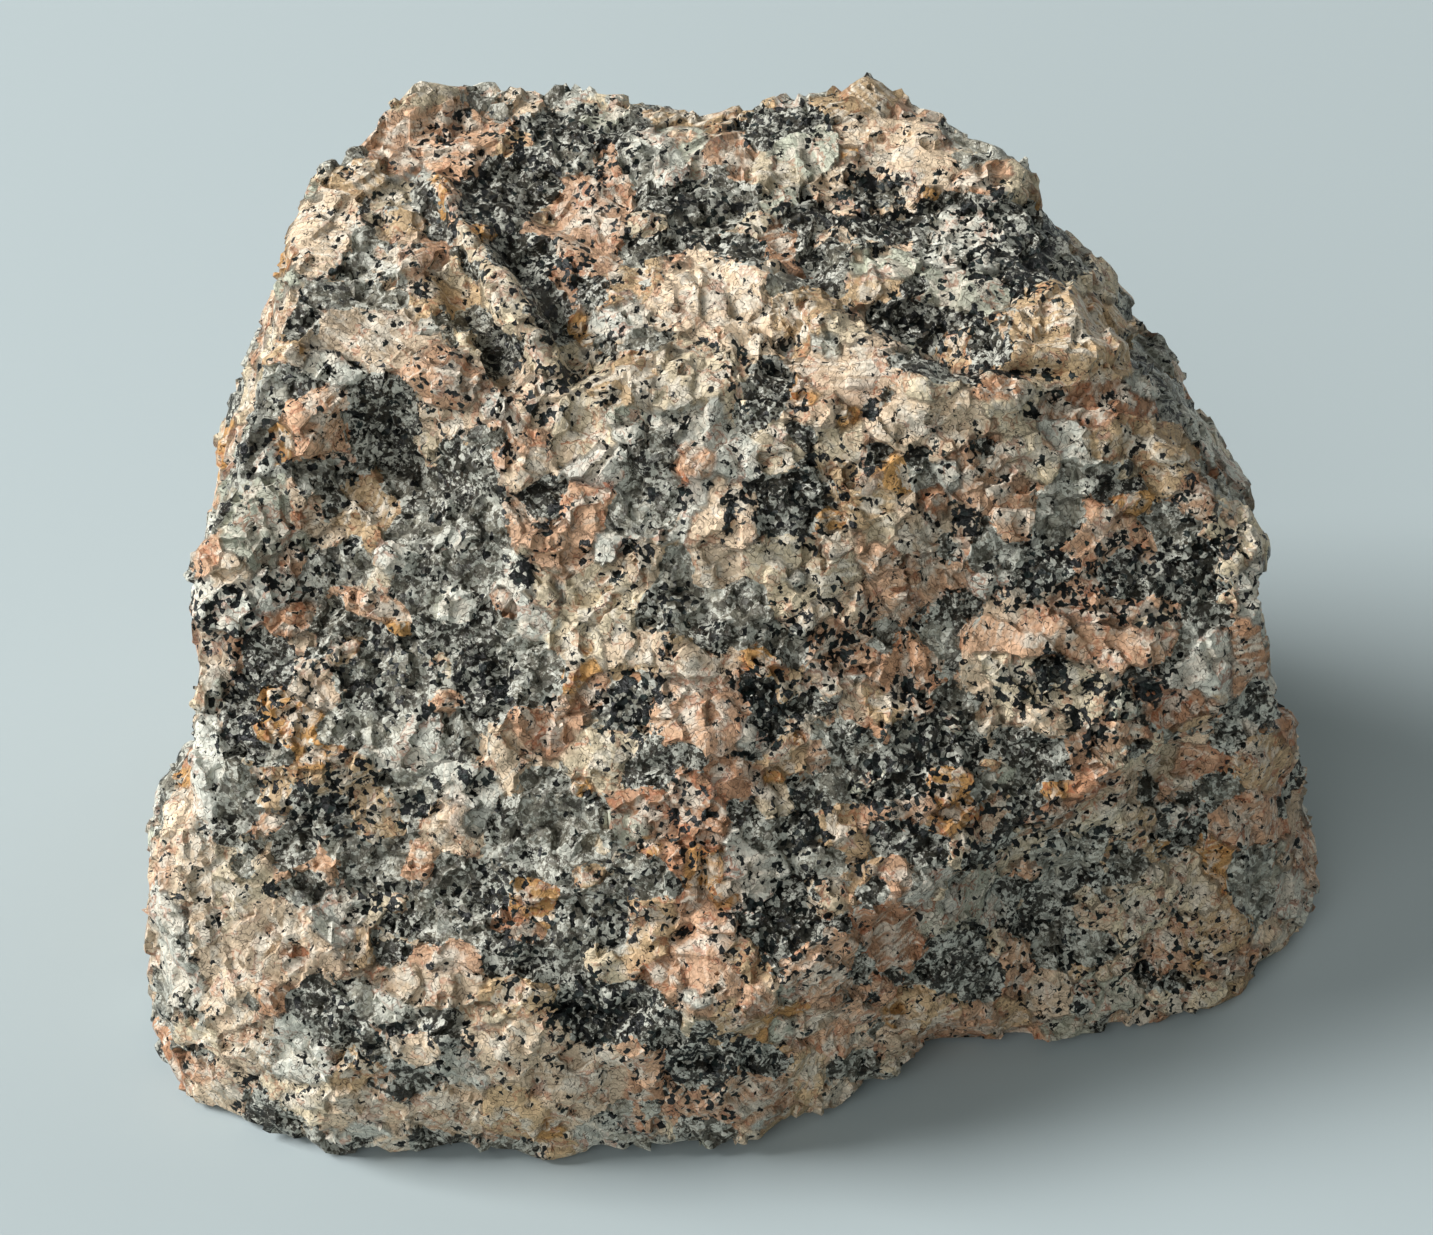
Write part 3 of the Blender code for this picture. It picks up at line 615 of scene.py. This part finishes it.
def list_extras(tree):
    """Mica, rust and powder seen in the photograph, each as centre, measuring matrix and strength."""
    rows = {
        "crystal": [spot + (spot[2], 0, 1.0) for spot in MICA] + [blade + (1.0,) for blade in MICA_BLADES],
        "nest": [nest[:4] + (0, nest[4]) for nest in MICA_NESTS],
        "rust": [stain[:4] + (0, stain[4]) for stain in RUST],
        "crush": CRUSH,
    }
    return {name: [landmark(tree, *row[:5]) + row[5:] for row in found] for name, found in rows.items()}


def crest_relief(points, tree):
    """How far the named crests and clefts lift the skin at each point."""
    lift = np.zeros(len(points))
    for height, width, route in CRESTS.values():
        spots = np.array([spot_on_stone(tree, *pixel)[0] for pixel in route])
        away = np.full(len(points), 99.0)
        for start, end in zip(spots, spots[1:]):
            along = end - start
            share = np.clip((points - start) @ along / np.dot(along, along), 0, 1)
            gap = np.linalg.norm(points - start - share[:, None] * along, axis=1)
            away = np.minimum(away, gap)
        lift += height * np.exp(-(away / width) ** 2)
    return lift


def grain_relief(points, normals, grains, found):
    """How far each grain's own break lifts the skin: flat plates of feldspar, curved lumps of quartz."""
    _, centres, _, lies, numbers = zip(*grains)
    centre, lie, number = (np.array(column)[found["grain"]] for column in (centres, lies, numbers))

    # Feldspar splits in plates that lean towards the cleavage plane that lies nearest to the skin
    rows = np.arange(len(points))
    facing = np.einsum("nij,nj->ni", lie, normals)
    side = np.argmax(np.abs(facing), axis=1)
    places = np.einsum("nij,nj->ni", lie, stirred(points, *PLATE_STIR) - centre)
    turned = np.stack([places[rows, (side + axis) % 3] for axis in range(3)], axis=1) / PLATE_SIZE
    offset, numbers = crumbs(turned, 1.0, PLATE_SEED)
    plates = -PLATE_TILT * PLATE_SIZE[0] * offset[:, 0] / facing[rows, side]
    plates = np.clip(plates, -PLATE_REACH, PLATE_REACH) + PLATE_STEP * (numbers[:, 0] - 0.5)

    # Quartz breaks in lumps that each lean and bulge their own way
    offset, numbers = crumbs(stirred(points, *LUMP_STIR), LUMP_SIZE, LUMP_SEED)
    lumps = LUMP_SLOPE * np.einsum("ij,ij->i", offset, 2 * numbers - 1)
    lumps -= LUMP_ROUND * (numbers[:, 2] - 0.35) * np.einsum("ij,ij->i", offset, offset)
    lumps += LUMP_STEP * (numbers[:, 1] - 0.5) - QUARTZ_SUNK
    lift = np.where(found["quartz"], lumps, plates) + GRAIN_STEP * (number - 0.4)
    for size, amount in (ROUGH_COARSE, ROUGH_FINE):
        lift += amount * cloud(points, size, ROUGH_SEED)
    return lift - MICA_PIT * found["crystal"]


def mesh_points(mesh):
    """The mesh's corners and their outward directions, in millimetres."""
    points = np.empty(3 * len(mesh.vertices), np.float32)
    mesh.vertices.foreach_get("co", points)
    normals = np.empty(3 * len(mesh.vertices), np.float32)
    mesh.vertex_normals.foreach_get("vector", normals)
    return points.reshape(-1, 3).astype(float) / MM, normals.reshape(-1, 3).astype(float)


def place_points(mesh, points):
    """Moves the mesh's corners to the points, held inside the solid's box."""
    low, high = (np.array(corner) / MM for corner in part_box(NODE))
    held = np.clip(points, low, high) * MM
    mesh.vertices.foreach_set("co", held.astype(np.float32).ravel())
    mesh.update()


def apply_modifier(stone, kind, **settings):
    """Adds one modifier to the stone and applies it."""
    modifier = stone.modifiers.new(kind.title(), kind)
    for name, value in settings.items():
        setattr(modifier, name, value)
    bpy.ops.object.modifier_apply(modifier=modifier.name)


def copy_solid():
    """A copy of the stone's solid with its corners joined, ready to be worked."""
    bpy.ops.object.select_all(action="DESELECT")
    node = frame["nodes"][NODE]
    node.select_set(True)
    bpy.context.view_layer.objects.active = node
    bpy.ops.object.duplicate()
    stone = bpy.context.object
    stone.name = "granite_stone"
    stone.data.name = "granite_stone"
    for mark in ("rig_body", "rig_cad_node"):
        del stone[mark]
    stone.parent = None
    stone.data.materials.clear()
    bpy.ops.object.mode_set(mode="EDIT")
    bpy.ops.mesh.select_all(action="SELECT")
    bpy.ops.mesh.remove_doubles(threshold=0.001 * MM)
    bpy.ops.object.mode_set(mode="OBJECT")
    return stone


def fine_share(points, normals):
    """How fine the skin has to be: 1 where it faces the camera, less on the other sides, 0 underneath."""
    eye = view_axes()[0]
    line = eye - points
    line /= np.linalg.norm(line, axis=1)[:, None]
    seen = np.clip(np.einsum("ij,ij->i", line, normals) * 1.6 + 0.25, 0, 1)
    return np.where(normals[:, 2] < -0.6, 0, np.maximum(seen, FINE_ELSEWHERE))


def break_surface(stone):
    """Gives the solid its fine skin and the relief of its grains. Returns the grains and the extras."""
    apply_modifier(stone, "REMESH", mode="VOXEL", voxel_size=SKIN_QUAD * MM)
    apply_modifier(stone, "SMOOTH", factor=0.5, iterations=SKIN_ROUNDS)
    points, normals = mesh_points(stone.data)
    corners = [polygon.vertices for polygon in stone.data.polygons]
    tree = BVHTree.FromPolygons(points.tolist(), corners)
    grains = list_grains(tree)
    extras = list_extras(tree)
    found = survey(points, grains, extras)
    lift = grain_relief(points, normals, grains, found) + crest_relief(points, tree)
    lift *= np.clip(points[:, 2] / FOOT_CALM, 0, 1)
    points += normals * lift[:, None]
    place_points(stone.data, points)
    apply_modifier(stone, "SMOOTH", factor=0.5, iterations=FINISH_ROUNDS)
    thin_out(stone, points, normals)
    place_points(stone.data, mesh_points(stone.data)[0])
    return grains, extras


def thin_out(stone, points, normals):
    """Takes the skin down to its triangles, somewhat finer where the camera looks."""
    hidden = 1 - THIN_SPARED * fine_share(points, normals)
    group = stone.vertex_groups.new(name="hidden")
    for level in range(11):
        members = np.flatnonzero(np.round(hidden * 10) == level)
        group.add(members.tolist(), level / 10, "REPLACE")
    bpy.ops.object.mode_set(mode="EDIT")
    bpy.ops.mesh.select_all(action="SELECT")
    bpy.ops.mesh.quads_convert_to_tris(quad_method="BEAUTY", ngon_method="BEAUTY")
    bpy.ops.object.mode_set(mode="OBJECT")
    ratio = SKIN_TRIANGLES / len(stone.data.polygons)
    apply_modifier(stone, "DECIMATE", ratio=ratio, vertex_group="hidden", vertex_group_factor=1.0)
    stone.vertex_groups.clear()


def unfold(mesh):
    """A map for baking the material: the stone seen square on from its six sides, in three rows of two."""
    points, normals = mesh_points(mesh)
    low = points.min(axis=0)
    cells = tuple(((points - low) / MAP_CELL).astype(int).T + 1)
    total = np.zeros([cell.max() + 2 for cell in cells] + [3])
    np.add.at(total, cells, normals)
    near = itertools.product((-1, 0, 1), repeat=3)
    broad = sum(np.roll(total, step, axis=(0, 1, 2)) for step in near)[cells]
    corners = np.empty(len(mesh.loops), np.int32)
    mesh.loops.foreach_get("vertex_index", corners)
    lean = broad[corners].reshape(-1, 3, 3).sum(axis=1)
    axis = np.argmax(np.abs(lean), axis=1)
    side = np.repeat(2 * axis + (lean[np.arange(len(lean)), axis] > 0), 3)
    sheets = np.array(MAP_SHEETS)[side]
    rows = np.arange(len(corners))
    away = (points - low)[corners]
    places = np.stack([away[rows, sheets[:, part]] + sheets[:, part + 2] for part in (0, 1)], axis=1)
    layer = mesh.uv_layers.new(name="OFBake")
    layer.uv.foreach_set("vector", (places / MAP_SIZE).astype(np.float32).ravel())


def write_attribute(mesh, name, kind, field, values):
    """Stores one value for each corner of the mesh."""
    attribute = mesh.attributes.new(name, kind, "POINT")
    attribute.data.foreach_set(field, np.asarray(values, np.float32).ravel())


def stain_skin(stone, grains, extras):
    """Writes what the rock is made of at each corner, for the material to read."""
    mesh = stone.data
    found = survey(mesh_points(mesh)[0], grains, extras)
    kinds, _, _, lies, numbers = zip(*grains)
    colours = np.array([linear(KINDS[kind][1]) for kind in kinds])
    colours[:, :3] *= (GRAIN_DARKEST + GRAIN_SPREAD * np.array(numbers))[:, None]
    cleavage = np.array(lies)[:, 1]
    reach, owner = found["reach"], found["owner"]
    rim = np.abs(reach["feldspar"] - reach["quartz"])
    minerals = np.stack((reach["feldspar"], reach["quartz"], rim), axis=1)
    flecks = np.stack((found["crystal"], found["nest"], found["rust"]), axis=1)
    write_attribute(mesh, "minerals", "FLOAT_VECTOR", "vector", minerals)
    write_attribute(mesh, "flecks", "FLOAT_VECTOR", "vector", flecks)
    write_attribute(mesh, "crush", "FLOAT", "value", found["crush"])
    write_attribute(mesh, "cleavage", "FLOAT_VECTOR", "vector", cleavage[owner["feldspar"]])
    for mineral in ("feldspar", "quartz"):
        write_attribute(mesh, mineral, "FLOAT_COLOR", "color", colours[owner[mineral]])


def add_node(tree, kind, inputs=None, **settings):
    """Adds one node to a material's node tree, sets its options, and sets or links its inputs."""
    node = tree.nodes.new("ShaderNode" + kind)
    for name, value in settings.items():
        setattr(node, name, value)
    for socket, value in (inputs or {}).items():
        if isinstance(value, bpy.types.NodeSocket):
            tree.links.new(value, node.inputs[socket])
        else:
            node.inputs[socket].default_value = value
    return node.outputs


def compute(tree, operation, *values):
    """One sum of a material."""
    return add_node(tree, "Math", dict(enumerate(values)), operation=operation)[0]


def rescale(tree, value, low=0.0, high=1.0, start=0.0, end=1.0):
    """A value that goes from start to end while another goes from low to high."""
    return add_node(tree, "MapRange", {0: value, 1: low, 2: high, 3: start, 4: end})[0]


def blend(tree, share, first, second):
    """A share of the second colour over the first."""
    return add_node(tree, "Mix", {0: share, 6: first, 7: second}, data_type="RGBA")[2]


def add_shares(tree, total, *terms):
    """A total with a weighted share of each term added to it."""
    for value, weight in terms:
        total = compute(tree, "MULTIPLY_ADD", value, weight, total)
    return total


def threads(tree, noise, edge, core, strength=1.0):
    """Thin lines along the middle of a noise, from nothing at their edge to their strength at the core."""
    away = compute(tree, "ABSOLUTE", compute(tree, "SUBTRACT", noise, 0.5))
    return rescale(tree, away, edge, core, end=strength)


def combine(tree, operation, first, second, result="Vector"):
    """One sum of a material with vectors."""
    return add_node(tree, "VectorMath", {0: first, 1: second}, operation=operation)[result]


def brighten(tree, colour, amount):
    """A colour made brighter or darker."""
    return add_node(tree, "VectorMath", {0: colour, "Scale": amount}, operation="SCALE")["Vector"]


def read_skin(tree, name, result="Vector"):
    """What was written on the skin under a name."""
    return add_node(tree, "Attribute", attribute_name=name)[result]


def granite_material():
    """Coarse pink granite on a fresh break.

    Feldspar splits along flat cleavage and is opaque, from cream to salmon pink, with a dull glassy
    shine. Quartz has no cleavage: it is smoky, glassier and breaks in small lumps with frosted rims, and
    its chips carry painted shade and painted glints. Mica is black with a painted teal glint. Nothing is
    weathered apart from rusty films along some rims.
    """
    material = bpy.data.materials.new("coarse pink granite, fresh break")
    material.use_nodes = True
    tree = material.node_tree
    tree.nodes.clear()
    place = add_node(tree, "TexCoord")["Object"]
    mm = brighten(tree, place, 1 / MM)

    # Crumb edges wander by up to a third of a millimetre to either side
    wander = add_node(tree, "TexNoise", {"Vector": mm, "Scale": WANDERS, "Detail": 1.0})["Color"]
    bent = add_node(tree, "VectorMath", {0: wander, 1: [WANDER] * 3, 2: mm}, operation="MULTIPLY_ADD")
    bent = bent["Vector"]

    # Two sizes of crumb, lumps of about two millimetres and chips of a little over half of one, and
    # two noises, grit finer than the chips and patches as large as the lumps
    lump = add_node(tree, "TexVoronoi", {"Vector": bent, "Scale": LUMPS})
    lump_number = add_node(tree, "SeparateXYZ", {0: lump["Color"]})
    chip = add_node(tree, "TexVoronoi", {"Vector": bent, "Scale": CHIPS})
    chip_number = add_node(tree, "SeparateXYZ", {0: chip["Color"]})
    gritty = {"Vector": mm, "Scale": GRIT, "Detail": 3.0, "Roughness": 0.7}
    grit = add_node(tree, "TexNoise", gritty)["Fac"]
    patch = add_node(tree, "TexNoise", {"Vector": bent, "Scale": PATCHES, "Detail": 3.0})["Fac"]

    # How far the nearest feldspar and quartz are and the border between them, then crystals and nests
    # of mica and rust, then powder
    minerals = add_node(tree, "SeparateXYZ", {0: read_skin(tree, "minerals")})
    flecks = add_node(tree, "SeparateXYZ", {0: read_skin(tree, "flecks")})
    crush = read_skin(tree, "crush", "Fac")

    # A crumb is all quartz or all feldspar, so the grains interlock crumb by crumb
    lead = compute(tree, "SUBTRACT", minerals["Y"], minerals["X"])
    lead = add_shares(tree, lead, (chip_number["X"], 0.22), (lump_number["Z"], 0.5))
    quartz_here = rescale(tree, lead, 0.32, 0.28)

    # Feldspar: pale in the middle of a grain and its own colour towards the rim, patch by patch
    feldspar = read_skin(tree, "feldspar", "Color")
    along = combine(tree, "DOT_PRODUCT", bent, read_skin(tree, "cleavage"), "Value")
    streaked = {"W": along, "Scale": STREAKS, "Detail": 1.0}
    streaks = add_node(tree, "TexNoise", streaked, noise_dimensions="1D")["Fac"]
    stepped = {"W": along, "Scale": LEDGES}
    ledge = add_node(tree, "TexVoronoi", stepped, voronoi_dimensions="1D")["Color"]
    pale = rescale(tree, minerals["X"], 0.1, 1.1, 0.4, -0.1)
    pale = add_shares(tree, pale, (lump_number["X"], 0.6), (streaks, 1.2), (patch, 2.4))
    pale = rescale(tree, pale, 2.05, 2.55, end=0.85)
    feldspar = blend(tree, pale, feldspar, linear(PALE_FELDSPAR))
    mottle = rescale(tree, grit, 0.3, 0.7, 0.74, 1.16)
    streaks = rescale(tree, streaks, 0.3, 0.7, 0.84, 1.1)
    chip_shade = rescale(tree, chip_number["Y"], start=0.86, end=1.1)
    shade = compute(tree, "MULTIPLY", mottle, streaks)
    shade = compute(tree, "MULTIPLY", shade, chip_shade)
    feldspar = brighten(tree, feldspar, shade)

    # Thin rusty films that wander through the feldspar and follow its rims
    film = threads(tree, patch, 0.055, 0.012)
    film_gate = rescale(tree, lump_number["Y"], 0.5, 0.7)
    film = compute(tree, "MULTIPLY", film, film_gate)
    rim_line = rescale(tree, minerals["Z"], 0.14, 0.02)
    rim_line = compute(tree, "MULTIPLY", rim_line, film_gate)
    film = compute(tree, "MAXIMUM", film, rim_line)
    rust = compute(tree, "MULTIPLY_ADD", flecks["Z"], 0.45, 0.5)
    film = compute(tree, "MULTIPLY", film, rust)
    soak = compute(tree, "MULTIPLY", flecks["Z"], 0.28)
    film = compute(tree, "MAXIMUM", film, soak)
    feldspar = blend(tree, film, feldspar, linear(RUSTY_FILM))

    # Quartz: smoky crystals, even in the middle and broken near the rim into chips with painted shade and
    # light, each as bright as it lies; the brightest are white, partly real frost and partly painted glint
    quartz = read_skin(tree, "quartz", "Color")
    broken = rescale(tree, minerals["Y"], 0.2, 0.8, 0.25)
    lump_shade = rescale(tree, lump_number["X"], start=-0.4, end=0.45)
    chip_shade = rescale(tree, chip_number["Y"], start=-0.52, end=0.45)
    shade = compute(tree, "ADD", lump_shade, chip_shade)
    shade = compute(tree, "MULTIPLY_ADD", shade, broken, 0.95)
    grit_shade = rescale(tree, grit, 0.3, 0.7, 0.7, 1.3)
    shade = compute(tree, "MULTIPLY", shade, grit_shade)
    quartz = brighten(tree, quartz, shade)
    frost_and_glint = add_shares(tree, grit, (chip_number["Y"], 0.35), (patch, 0.8), (broken, 0.15))
    frost_and_glint = rescale(tree, frost_and_glint, 1.17, 1.27, end=0.9)
    quartz = blend(tree, frost_and_glint, quartz, linear(FROST_AND_PAINTED_GLINT))

    rock = blend(tree, quartz_here, feldspar, quartz)

    # White powder of crushed feldspar
    border = rescale(tree, minerals["Z"], 0.6, 0.1, end=0.55)
    border = compute(tree, "MULTIPLY", border, chip_number["Y"])
    powder = compute(tree, "MAXIMUM", crush, border)
    powder = compute(tree, "MULTIPLY", powder, grit)
    powder = rescale(tree, powder, 0.28, 0.4, end=0.85)
    rock = blend(tree, powder, rock, linear(WHITE_POWDER))

    # Hair cracks, dark and about a tenth of a millimetre wide
    crack = add_node(tree, "SeparateXYZ", {0: wander})["X"]
    crack = threads(tree, crack, 0.018, 0.004, 0.6)
    rock = blend(tree, crack, rock, linear(HAIR_CRACK))

    # Mica: fine ragged chips, crowded in nests and round the quartz, and the single crystals
    stray = rescale(tree, patch, 0.54, 0.66, end=0.42)
    collar = rescale(tree, minerals["Z"], 0.3, 0.0, end=0.15)
    dense = add_shares(tree, stray, (flecks["Y"], 0.95))
    dense = compute(tree, "ADD", dense, collar)
    ragged = compute(tree, "MULTIPLY", grit, 0.4)
    ragged = add_shares(tree, ragged, (chip_number["Z"], 0.85), (dense, -0.5))
    mica_here = rescale(tree, ragged, 0.225, 0.195)
    crystal = add_shares(tree, flecks["X"], (chip_number["X"], 0.8), (grit, 0.6))
    crystal = rescale(tree, crystal, 1.46, 1.52)
    mica_here = compute(tree, "MAXIMUM", mica_here, crystal)
    # Mica's colour: soot black, with a painted teal glint on some chips
    mica = rescale(tree, chip_number["Y"], 0.6, 1.0)
    mica = blend(tree, mica, linear(MICA_BLACK), linear(MICA_PAINTED_GLINT))
    rock = blend(tree, mica_here, rock, mica)

    # Shine: quartz is the glassiest, feldspar is duller
    rough = rescale(tree, quartz_here, start=FELDSPAR_ROUGH, end=QUARTZ_ROUGH)
    rough = add_node(tree, "Mix", {0: mica_here, 2: rough, 3: MICA_ROUGH})[0]

    # Relief finer than the skin's triangles, in millimetres: each chip is a small tilted face, which
    # shows most in quartz and least on the smooth cleavage of feldspar
    face = combine(tree, "SUBTRACT", bent, chip["Position"])
    lean = combine(tree, "SUBTRACT", chip["Color"], (0.5, 0.5, 0.5))
    face = combine(tree, "DOT_PRODUCT", face, lean, "Value")
    face = add_shares(tree, face, (chip_number["Y"], 0.12))
    share = rescale(tree, minerals["Y"], 1.3, 0.8, 0.45, 1.1)
    level = compute(tree, "MULTIPLY", face, share)
    ledge = add_node(tree, "SeparateXYZ", {0: ledge})["X"]
    level = add_shares(tree, level, (grit, 0.2), (ledge, 0.14), (crack, -0.2))
    normal = add_node(tree, "Bump", {"Strength": 1.0, "Distance": MM, "Height": level})["Normal"]

    shader = add_node(tree, "BsdfPrincipled", {
        "Base Color": rock,
        "Roughness": rough,
        "IOR": STONE_IOR,
        "Specular IOR Level": STONE_SPECULAR,
        "Normal": normal,
    })
    add_node(tree, "OutputMaterial", {"Surface": shader["BSDF"]})
    return material


def make_stone():
    """The whole stone, shaped, coloured and riding in its solid's place."""
    stone = copy_solid()
    grains, extras = break_surface(stone)
    stain_skin(stone, grains, extras)
    unfold(stone.data)
    bpy.ops.object.shade_smooth_by_angle(angle=SHARP_EDGE)
    stone.data.materials.append(granite_material())
    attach(stone, "root")
    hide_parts(NODE)


def plain_material(name, colour, roughness):
    """One even finish, for the floor."""
    material = bpy.data.materials.new(name)
    material.use_nodes = True
    shader = material.node_tree.nodes["Principled BSDF"]
    shader.inputs["Base Color"].default_value = linear(colour)
    shader.inputs["Roughness"].default_value = roughness
    return material


def add_floor():
    """A wide pale floor at the height of the stone's flat spot."""
    bpy.ops.object.select_all(action="DESELECT")
    bpy.ops.mesh.primitive_plane_add(size=FLOOR_SIZE)
    floor = bpy.context.object
    floor.name = "floor"
    floor.data.materials.append(plain_material("pale floor", FLOOR_COLOUR, FLOOR_ROUGH))


def add_lamp(name, azimuth, rise, distance, size, power):
    """A soft square lamp that looks at the stone. Azimuth 0 is the camera's side, and 90 is its right."""
    turn, lift = math.radians(azimuth), math.radians(rise)
    away = Vector((math.cos(lift) * math.sin(turn), -math.cos(lift) * math.cos(turn), math.sin(lift)))
    light = bpy.data.lights.new(name, "AREA")
    light.shape = "SQUARE"
    light.size = size
    light.energy = power
    lamp = bpy.data.objects.new(name, light)
    bpy.context.scene.collection.objects.link(lamp)
    lamp.location = away * distance + LAMP_AIM
    lamp.rotation_euler = away.to_track_quat("Z", "Y").to_euler()


def add_light():
    """A large soft key lamp to the left, weaker ones in front and behind, and a weak even fill."""
    for lamp in LAMPS:
        add_lamp(*lamp)
    world = bpy.data.worlds.new("studio")
    world.use_nodes = True
    background = world.node_tree.nodes["Background"]
    background.inputs["Color"].default_value = linear(FILL_COLOUR)
    background.inputs["Strength"].default_value = FILL_STRENGTH
    bpy.context.scene.world = world
    bpy.context.scene.view_settings.view_transform = "Standard"


def add_camera():
    """The camera at the photograph's viewing angle."""
    eye, _, _, back = view_axes()
    data = bpy.data.cameras.new("camera")
    data.lens = LENS
    data.sensor_width = SENSOR
    data.sensor_fit = "HORIZONTAL"
    data.clip_start = 0.01
    camera = bpy.data.objects.new("camera", data)
    bpy.context.scene.collection.objects.link(camera)
    camera.location = Vector(eye) * MM
    camera.rotation_euler = Vector(back).to_track_quat("Z", "Y").to_euler()
    bpy.context.scene.camera = camera


add_camera()
add_light()
add_floor()
make_stone()
